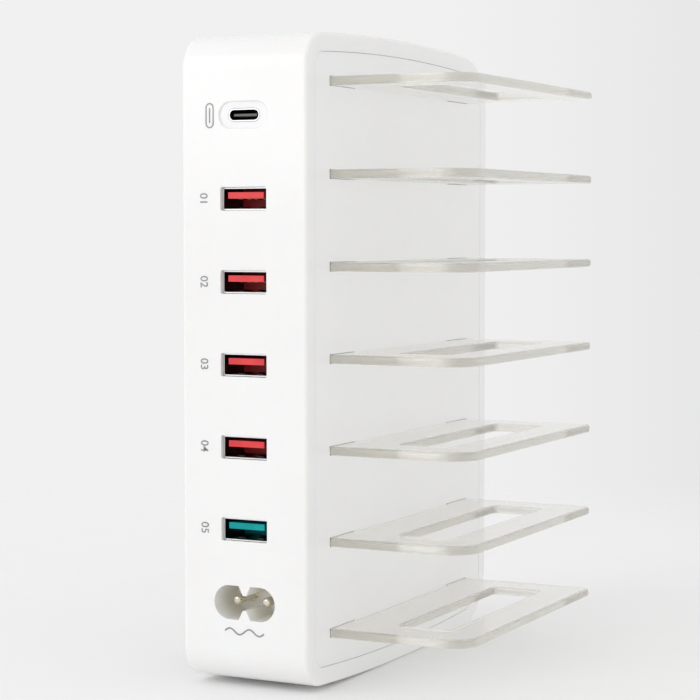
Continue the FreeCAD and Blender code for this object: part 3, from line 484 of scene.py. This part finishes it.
print("clear sheet: index", SHEET_INDEX)

# %% Clear sheet: light through it
SHEET_TINT = (0.72, 0.63, 0.28, 1)
SHEET_DENSITY = 2.6
SHEET_PASSES = (0.975, 0.975, 0.968, 1)
CLEAR_BOUNCES = 48
SOFT_BOUNCES = 10

inside = add_node(tree, "ShaderNodeVolumeAbsorption", Color=SHEET_TINT, Density=SHEET_DENSITY)
rays = add_node(tree, "ShaderNodeLightPath")
lit_through = add_node(tree, "ShaderNodeMath", operation="MAXIMUM")
passing = add_node(tree, "ShaderNodeBsdfTransparent", Color=SHEET_PASSES)
lay = add_node(tree, "ShaderNodeMixShader")
sheet_out = tree.nodes["Material Output"]
wire(tree, (rays.outputs["Is Shadow Ray"], lit_through.inputs[0]),
     (rays.outputs["Is Diffuse Ray"], lit_through.inputs[1]),
     (lit_through.outputs[0], lay.inputs[0]),
     (shader.outputs[0], lay.inputs[1]), (passing.outputs[0], lay.inputs[2]),
     (lay.outputs[0], sheet_out.inputs["Surface"]), (inside.outputs[0], sheet_out.inputs["Volume"]))
paths = bpy.context.scene.cycles
paths.max_bounces = CLEAR_BOUNCES
paths.transmission_bounces = CLEAR_BOUNCES
paths.glossy_bounces = CLEAR_BOUNCES
paths.transparent_max_bounces = CLEAR_BOUNCES
paths.diffuse_bounces = SOFT_BOUNCES
print("clear sheet: density", SHEET_DENSITY, "with up to", CLEAR_BOUNCES, "bounces")

# %% [markdown]
# ## Sockets, inlet pins and fasteners
# Drawing leaves streaks along the depth of the socket, so the grain is stretched along Y. The steel
# walls inside are painted near black as shade, and the cut rim is painted bright as lit. Both could
# be separate meshes, but a mask from the surface direction mixes the two colours in one material.
# The small oval socket has a black tongue, its front face painted grey as lit. Contacts are gold
# plated, with the gold painted dark as shade, and the inlet pins nickel.

# %% Metal and tongue finishes
ALONG_DEPTH = (1, 0.08, 1)
LOOKS_OUT = (-0.9, -0.4)


def paint_lit_front(material, colour):
    """Paints the faces that look out of the panel in a lighter colour, a painted light against the
    shaded inside.
    """
    tree = material.node_tree
    shader = tree.nodes["Principled BSDF"]
    elsewhere = shader.inputs["Base Color"].links[0].from_socket
    facing = add_node(tree, "ShaderNodeSeparateXYZ")
    wire(tree, (add_node(tree, "ShaderNodeTexCoord").outputs["Normal"], facing.inputs[0]))
    looks_out = smooth_range(tree, facing.outputs["Y"], *LOOKS_OUT, 1.0, 0.0)
    wire(tree, (mixed_colour(tree, looks_out, elsewhere, colour), shader.inputs["Base Color"]))


# Painted shade: the steel is near black for the walls inside the sockets; its rim gets a painted
# bright grey, as lit.
steel = make_finish("socket_steel", grey(0.10), grey(0.07), 0.3, 0.45, drift=300.0, grain=2500.0,
                    bump=0.2, depth=0.01, stretch=ALONG_DEPTH, metal=1.0)
paint_lit_front(steel, grey(0.86))
# Painted shade: the fingers' steel is near black, as they lie deep in the socket's shade.
make_finish("finger_steel", grey(0.09), grey(0.06), 0.35, 0.5, drift=300.0, grain=2500.0, bump=0.2,
            depth=0.01, stretch=ALONG_DEPTH, metal=1.0)
# Painted shade: the gold is far darker than bright plating, so the contacts stay dark deep in the
# sockets.
make_finish("contact_gold", (0.30, 0.20, 0.08, 1), (0.25, 0.17, 0.06, 1), 0.22, 0.35, drift=500.0,
            grain=3000.0, bump=0.1, depth=0.01, stretch=ALONG_DEPTH, metal=1.0)
make_finish("pin_nickel", (0.80, 0.74, 0.63, 1), (0.70, 0.64, 0.53, 1), 0.12, 0.22, drift=400.0,
            grain=3000.0, bump=0.1, depth=0.01, stretch=ALONG_DEPTH, metal=1.0)
make_finish("screw_steel", grey(0.52), grey(0.44), 0.32, 0.45, drift=300.0, grain=2500.0,
            bump=0.2, depth=0.01, metal=1.0)
make_finish("insert_red", (0.78, 0.045, 0.05, 1), (0.68, 0.03, 0.04, 1), 0.38, 0.5, drift=200.0,
            grain=2600.0, bump=0.2, depth=0.02)
make_finish("insert_green", (0.002, 0.36, 0.37, 1), (0.002, 0.30, 0.31, 1), 0.38, 0.5, drift=200.0,
            grain=2600.0, bump=0.2, depth=0.02, shine=0.2)
oval_tongue = make_finish("insert_black", grey(0.022), grey(0.03), 0.35, 0.5, drift=200.0,
                          grain=2600.0, bump=0.2, depth=0.02)
# Painted highlight: the front face of the black tongue gets a grey, as lit.
paint_lit_front(oval_tongue, grey(0.13))
print(len(finishes), "finishes so far")

# %% [markdown]
# ## Feet and the inside
# The rubber feet are dull and slightly dusty. Inside, the case holds a mains supply on a green
# board. Closed up, almost none of it shows, but a part is also looked at in pieces. Plain colours
# would do for the closed case. Here each finish is made in full: copper tracks under the green
# lacquer, tape windings on the transformer, a sintered core.

# %% Rubber and supply finishes
LEAD_SHADE = 0.8

make_finish("foot_rubber", grey(0.045), grey(0.07, 0.03), 0.7, 0.85, drift=160.0, grain=1800.0,
            bump=0.4, depth=0.05)
make_finish("device_black", grey(0.03), grey(0.04), 0.45, 0.6, drift=160.0, grain=2400.0,
            bump=0.3, depth=0.03)
make_finish("ferrite_grey", grey(0.075), grey(0.11), 0.55, 0.7, drift=220.0, grain=1600.0,
            bump=0.4, depth=0.05)
make_finish("can_sleeve", (0.035, 0.05, 0.13, 1), (0.05, 0.07, 0.17, 1), 0.2, 0.32, drift=80.0,
            grain=900.0, bump=0.08, depth=0.03)
make_finish("sink_aluminium", grey(0.72), grey(0.62), 0.3, 0.42, drift=120.0, grain=2000.0,
            bump=0.2, depth=0.02, stretch=(1, 1, 0.06), metal=1.0)
make_finish("disc_blue", (0.05, 0.16, 0.42, 1), (0.04, 0.12, 0.34, 1), 0.25, 0.4, drift=150.0,
            grain=700.0, bump=0.2, depth=0.05)
for slot, colour in (("lead_brown", (0.15, 0.06, 0.025, 1)), ("lead_blue", (0.035, 0.09, 0.34, 1)),
                     ("lead_black", grey(0.025)), ("lead_red", (0.42, 0.02, 0.02, 1))):
    shade = tuple(c * LEAD_SHADE for c in colour[:3]) + (1,)
    make_finish(slot, colour, shade, 0.4, 0.55, drift=120.0, grain=1500.0, bump=0.15, depth=0.03)
print(len(finishes), "finishes so far")

# %% Board with tracks and wound tape
TRACK_GREEN = (0.07, 0.30, 0.12, 1)
TAPE_EDGE = (0.45, 0.29, 0.04, 1)
TAPE_EDGE_BAND = (0.0, 0.25)


def lacquered_board():
    """Green lacquer over copper tracks that run along and across the board."""
    material = make_finish("board_green", (0.02, 0.16, 0.06, 1), (0.03, 0.2, 0.08, 1), 0.25, 0.36,
                           drift=60.0, grain=1200.0, bump=0.1, depth=0.02)
    tree = material.node_tree
    shader = tree.nodes["Principled BSDF"]
    lacquer = shader.inputs["Base Color"].links[0].from_socket
    tracks = add_node(tree, "ShaderNodeTexBrick", Scale=90.0, Mortar_Size=0.06, Brick_Width=1.6)
    turned = add_node(tree, "ShaderNodeMapping", Rotation=(math.pi / 2, 0, math.pi / 2))
    wire(tree, (object_space(tree), turned.inputs["Vector"]),
         (turned.outputs["Vector"], tracks.inputs["Vector"]))
    tracked = mixed_colour(tree, tracks.outputs["Fac"], lacquer, TRACK_GREEN)
    wire(tree, (tracked, shader.inputs["Base Color"]))


def wound_tape():
    """Yellow tape whose turns show as fine lines round the winding."""
    material = make_finish("tape_yellow", (0.72, 0.50, 0.07, 1), (0.62, 0.42, 0.06, 1), 0.3, 0.45,
                           drift=120.0, grain=900.0, bump=0.1, depth=0.02)
    tree = material.node_tree
    shader = tree.nodes["Principled BSDF"]
    tape = shader.inputs["Base Color"].links[0].from_socket
    turns = add_node(tree, "ShaderNodeTexWave", bands_direction="Z", Scale=160.0, Distortion=0.6)
    wire(tree, (object_space(tree), turns.inputs["Vector"]))
    edge = smooth_range(tree, turns.outputs["Fac"], *TAPE_EDGE_BAND, 1.0, 0.0)
    wire(tree, (mixed_colour(tree, edge, tape, TAPE_EDGE), shader.inputs["Base Color"]))


lacquered_board()
wound_tape()
print(len(finishes), "finishes in all")

# %% Give each solid its finish
for name, piece in pieces.items():
    finish = finishes[slot_of[name]]
    if not piece.material_slots:
        piece.data.materials.append(finish)
    for holder in piece.material_slots:
        holder.material = finish
print("finishes given to", len(pieces), "solids")

# %% [markdown]
# ## Divider sheets
# Each divider has a long window, a large round at its outer front corner, and two tabs at its root
# that go down into slots of the case. Its cut edges are eased, so they are softly round.
# A bevel modifier could round a plain cut-out, but it leaves thin crooked faces in the corners.
# Here the outline and the window are drawn as loops with rounded corners. Each loop steps in along
# a quarter circle towards both broad faces, so every edge is smooth and the sheet is closed.
# A fine slit parts most of each tab from the sheet, with a thin wall left at both ends. Light that
# runs along the sheet turns round at the slit, and doesn't get lost in the dark slot below.

# %% Rounded loops
CORNER_STEPS = 10
EDGE_STEPS = 5
EDGE_ROUND = 0.8 * MM


def rounded_loop(corners, inset, hole):
    """Points round a loop of corners, x, y and radius each, moved into the sheet by inset."""
    points = []
    for index, (x, y, radius) in enumerate(corners):
        corner = Vector((x, y))
        back = (Vector(corners[index - 1][:2]) - corner).normalized()
        ahead = (Vector(corners[(index + 1) % len(corners)][:2]) - corner).normalized()
        bulges = back.x * ahead.y - back.y * ahead.x < 0
        centre = corner + (back + ahead) * radius
        bend = radius - inset if bulges != hole else radius + inset
        for step in range(CORNER_STEPS + 1):
            turn = math.pi / 2 * step / CORNER_STEPS
            points.append(centre - (ahead * math.cos(turn) + back * math.sin(turn)) * bend)
    return points


def edge_profile(half):
    """Steps from the lower broad face to the upper one: how far in, and how high."""
    upper = []
    for step in range(EDGE_STEPS + 1):
        turn = math.pi / 2 * step / EDGE_STEPS
        upper.append((EDGE_ROUND * (1 - math.cos(turn)), half - EDGE_ROUND * (1 - math.sin(turn))))
    return [(inset, -rise) for inset, rise in reversed(upper)] + upper


print("edge steps", len(edge_profile(1.0 * MM)))

# %% Outline, window and slits of a divider
ROOT_GAP = 0.08 * MM
SLIT_HALF = 0.15 * MM
SLIT_WALL = 0.3 * MM
SLIT_ROUND = 0.1 * MM
TAB_LENGTH = 14.2 * MM
TAB_CORNER = 0.85 * MM
FRONT_CORNER = 8.0 * MM
REAR_CORNER = 1.5 * MM
WINDOW_CORNER = 1.5 * MM
WINDOW_FROM_FACE = 13.8 * MM
WINDOW_WIDTH = 14.0 * MM
WINDOW_FROM_FRONT = 12.5 * MM
WINDOW_FROM_REAR = 10.6 * MM


def upright_loop(near, far, start, end, radius):
    """The four corners of a rectangle, all with the same radius."""
    return [(x, y, radius) for x, y in ((near, start), (far, start), (far, end), (near, end))]


def divider_loops(low, high, inset):
    """Points of the outline, the window and the slit over each tab, at one step into the edge."""
    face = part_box("divider_plate")[1].x
    root = face + ROOT_GAP
    front_tab, rear_tab = low.y + TAB_LENGTH, high.y - TAB_LENGTH
    outline = [(low.x, low.y, TAB_CORNER), (high.x, low.y, FRONT_CORNER),
               (high.x, high.y, REAR_CORNER), (low.x, high.y, TAB_CORNER),
               (low.x, rear_tab, TAB_CORNER), (root, rear_tab, TAB_CORNER),
               (root, front_tab, TAB_CORNER), (low.x, front_tab, TAB_CORNER)]
    near, far = face + WINDOW_FROM_FACE, face + WINDOW_FROM_FACE + WINDOW_WIDTH
    window = upright_loop(near, far, low.y + WINDOW_FROM_FRONT, high.y - WINDOW_FROM_REAR,
                          WINDOW_CORNER)
    loops = [rounded_loop(outline, inset, False), rounded_loop(window, inset, True)]
    for start, end in ((low.y, front_tab), (rear_tab, high.y)):
        slit = upright_loop(face - SLIT_HALF, face + SLIT_HALF, start + inset + SLIT_WALL,
                            end - inset - SLIT_WALL, SLIT_ROUND)
        loops.append(rounded_loop(slit, 0.0, True))
    return loops


print("window", round(WINDOW_WIDTH / MM, 1), "mm wide, slits", 2 * SLIT_HALF / MM, "mm")

# %% Make the divider sheets
def divider_sheet(index):
    """One clear sheet in the place of its solid."""
    node = "divider_%d" % index
    low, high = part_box(node)
    middle, half = (high.z + low.z) / 2, (high.z - low.z) / 2
    form = bmesh.new()
    rims = ([], [])
    layers = [(rise, divider_loops(low, high, inset)) for inset, rise in edge_profile(half)]
    for part in range(len(layers[0][1])):
        rings = [[form.verts.new((p.x, p.y, middle + rise)) for p in loops[part]]
                 for rise, loops in layers]
        for lower, upper in zip(rings, rings[1:]):
            for i in range(len(lower)):
                form.faces.new((lower[i - 1], lower[i], upper[i], upper[i - 1])).smooth = True
        for rim, ring in zip(rims, (rings[0], rings[-1])):
            rim += [form.edges.get((ring[i - 1], ring[i])) for i in range(len(ring))]
    for rim in rims:
        bmesh.ops.triangle_fill(form, edges=rim, use_beauty=True)
        for edge in rim:
            edge.smooth = False
    bmesh.ops.recalc_face_normals(form, faces=form.faces[:])
    open_edges = sum(not edge.is_manifold for edge in form.edges)
    volume = form.calc_volume()
    mesh = bpy.data.meshes.new("clear_divider_%d" % index)
    form.to_mesh(mesh)
    form.free()
    mesh.materials.append(finishes["clear_sheet"])
    piece = bpy.data.objects.new("clear_divider_%d" % index, mesh)
    bpy.context.scene.collection.objects.link(piece)
    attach(piece, node)
    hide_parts(node)
    return open_edges, volume


for index in range(1, 8):
    open_edges, volume = divider_sheet(index)
print("seven sheets,", open_edges, "open edges,", round(volume / MM ** 3), "cubic mm each")

# %% [markdown]
# ## Printed marks
# Small grey marks stand beside the sockets, turned to read downwards. Plain numbers do the job
# here, with a small oval beside the oval socket and a wave for alternating current under the inlet.
# Ink could be a picture on the panel, but a thin solid film keeps its sharp edge at any distance.

# %% Ink
INK_FILM = 0.015 * MM
MARK_HEIGHT = 2.2 * MM
PANEL_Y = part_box("main_shell")[0].y

make_finish("mark_ink", grey(0.25, 0.02), grey(0.30, 0.02), 0.5, 0.6, drift=300.0, grain=2600.0,
            bump=0.1, depth=0.01)


def middle_of(name):
    """The middle of a piece's box."""
    low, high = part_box(name)
    return (low + high) / 2


def film_from(form, name, middle, reads_down, unit):
    """Gives flat faces the thickness of ink and moves them to their place on the panel."""
    lifted = bmesh.ops.extrude_face_region(form, geom=form.faces[:])
    tops = [v for v in lifted["geom"] if isinstance(v, bmesh.types.BMVert)]
    top_set = set(tops)
    for vert in form.verts:
        u, v = vert.co.x * unit, vert.co.y * unit
        y = PANEL_Y - (INK_FILM if vert in top_set else 0.0)
        if reads_down:
            vert.co = (middle.x + v, y, middle.z - u)
        else:
            vert.co = (middle.x + u, y, middle.z + v)
    bmesh.ops.recalc_face_normals(form, faces=form.faces[:])
    mesh = bpy.data.meshes.new(name)
    form.to_mesh(mesh)
    form.free()
    mesh.materials.append(finishes["mark_ink"])
    mark = bpy.data.objects.new(name, mesh)
    bpy.context.scene.collection.objects.link(mark)
    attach(mark, "case")
    return mark


print("ink film", INK_FILM / MM, "mm thick")

# %% Numbers beside the wide sockets
MARK_X = -30.1 * MM
NUMBER_WEIGHT = 0.004
NUMBER_WELD = 1e-5


def number_mark(name, number, middle):
    """A number from the built-in face, set to the height of the marks."""
    text = bpy.data.curves.new(name, "FONT")
    text.body = number
    text.align_x = "CENTER"
    text.size = 1.0
    text.offset = NUMBER_WEIGHT
    stand_in = bpy.data.objects.new(name + "_text", text)
    bpy.context.scene.collection.objects.link(stand_in)
    bpy.context.view_layer.update()
    mesh = bpy.data.meshes.new_from_object(stand_in)
    bpy.data.objects.remove(stand_in)
    form = bmesh.new()
    form.from_mesh(mesh)
    bmesh.ops.remove_doubles(form, verts=form.verts[:], dist=NUMBER_WELD)
    low = min(v.co.y for v in form.verts)
    tall = max(v.co.y for v in form.verts) - low
    for vert in form.verts:
        vert.co.y -= low + tall / 2
    return film_from(form, name, middle, True, MARK_HEIGHT / tall)


marks = []
for index in range(1, 6):
    place = middle_of("port_shell_%d" % index)
    place.x = MARK_X
    marks.append(number_mark("mark_number_%d" % index, "0%d" % index, place))
print(len(marks), "numbers")

# %% Oval mark
OVAL_MARK = (6.4, 2.4, 0.34)
OVAL_TONGUE = (3.8, 0.34)
OVAL_MARK_X = -28.3 * MM
ROUND_STEPS = 14
BAND_WELD = 1e-4


def oval_ring(width, height):
    """Points round an oval with half-circle ends."""
    radius = height / 2
    points = []
    for side in (1, -1):
        for step in range(ROUND_STEPS + 1):
            angle = math.pi * step / ROUND_STEPS - math.pi / 2
            points.append((side * (width / 2 - radius + radius * math.cos(angle)),
                           side * radius * math.sin(angle)))
    return points


def band(outer, inner, closed):
    """Four-sided faces between two rows of points."""
    count = len(outer) if closed else len(outer) - 1
    nxt = [(i + 1) % len(outer) for i in range(len(outer))]
    return [[outer[i], outer[nxt[i]], inner[nxt[i]], inner[i]] for i in range(count)]


def joined_band_mark(name, faces, middle, reads_down):
    """Joins flat faces, drawn in millimetres, and turns them into a mark."""
    form = bmesh.new()
    for ring in faces:
        form.faces.new([form.verts.new((u, v, 0)) for u, v in ring])
    bmesh.ops.remove_doubles(form, verts=form.verts[:], dist=BAND_WELD)
    return film_from(form, name, middle, reads_down, MM)


width, height, stroke = OVAL_MARK
place = middle_of("oval_port_shell")
place.x = OVAL_MARK_X
outline = band(oval_ring(width, height), oval_ring(width - 2 * stroke, height - 2 * stroke), True)
half_width, half_height = OVAL_TONGUE[0] / 2, OVAL_TONGUE[1] / 2
tongue = [[(-half_width, -half_height), (half_width, -half_height),
           (half_width, half_height), (-half_width, half_height)]]
marks.append(joined_band_mark("mark_oval", outline + tongue, place, True))
print("oval mark", width, "mm long")

# %% Wave mark
WAVE_MARK = (11.4, 0.75, 0.42)
WAVE_TURNS = 2
WAVE_STEPS = 64
WAVE_BELOW_PINS = 7.4 * MM

length, swing, stroke = WAVE_MARK
upper, lower = [], []
for step in range(WAVE_STEPS + 1):
    share = step / WAVE_STEPS
    u = (share - 0.5) * length
    angle = 2 * math.pi * WAVE_TURNS * share
    v = swing * math.sin(angle)
    slope = swing * 2 * math.pi * WAVE_TURNS / length * math.cos(angle)
    side = Vector((-slope, 1)).normalized() * stroke / 2
    upper.append((u + side.x, v + side.y))
    lower.append((u - side.x, v - side.y))
place = (middle_of("inlet_pin_1") + middle_of("inlet_pin_2")) / 2
place.z -= WAVE_BELOW_PINS
marks.append(joined_band_mark("mark_wave", band(upper, lower, False), place, False))
print(len(marks), "marks on the panel")

# %% [markdown]
# ## Spring fingers
# A plug is held by two thin fingers that bow up from the floor of each wide socket. They are
# pressed out of the shell sheet, so they are strips with a hump and not blocks. A bent curve could
# make them, but a short grid of points with a sine hump gives that shape directly, and a second
# layer gives it the thickness of the sheet.

# %% Make the spring fingers
FINGER_WIDTH = 1.9
FINGER_TAPER = 0.25
FINGER_LENGTH = 4.6
FINGER_RISE = 0.34
FINGER_SHEET = 0.18
FINGER_FROM_MOUTH = 2.5
FINGER_APART = 5.4
FINGER_STEPS = 12
SHELL_WALL = 0.3
SEAT_GAP = 0.02


def spring_finger(name, socket, side):
    """A bowed strip on the floor of one socket."""
    low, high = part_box(socket)
    x = (low.x + high.x) / 2 + side * FINGER_APART / 2 * MM
    y = low.y + FINGER_FROM_MOUTH * MM
    z = low.z + (SHELL_WALL + SEAT_GAP) * MM
    form = bmesh.new()
    rows = []
    for step in range(FINGER_STEPS + 1):
        share = step / FINGER_STEPS
        rise = FINGER_RISE * math.sin(math.pi * share) ** 2
        taper = FINGER_WIDTH * (1 - FINGER_TAPER * share) / 2
        rows.append([form.verts.new((x + across * taper * MM, y + share * FINGER_LENGTH * MM,
                                     z + (rise + lift) * MM))
                     for lift in (0, FINGER_SHEET) for across in (-1, 1)])
    for near, away in zip(rows, rows[1:]):
        for a, b in ((0, 1), (1, 3), (3, 2), (2, 0)):
            form.faces.new((near[a], near[b], away[b], away[a]))
    for end in (rows[0], rows[-1]):
        form.faces.new((end[0], end[1], end[3], end[2]))
    bmesh.ops.recalc_face_normals(form, faces=form.faces[:])
    mesh = bpy.data.meshes.new(name)
    form.to_mesh(mesh)
    form.free()
    mesh.materials.append(finishes["finger_steel"])
    finger = bpy.data.objects.new(name, mesh)
    bpy.context.scene.collection.objects.link(finger)
    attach(finger, "case")
    return finger


fingers = []
for index in range(1, 6):
    for side in (-1, 1):
        name = "spring_finger_%d_%s" % (index, "left" if side < 0 else "right")
        fingers.append(spring_finger(name, "port_shell_%d" % index, side))
print(len(fingers), "spring fingers")
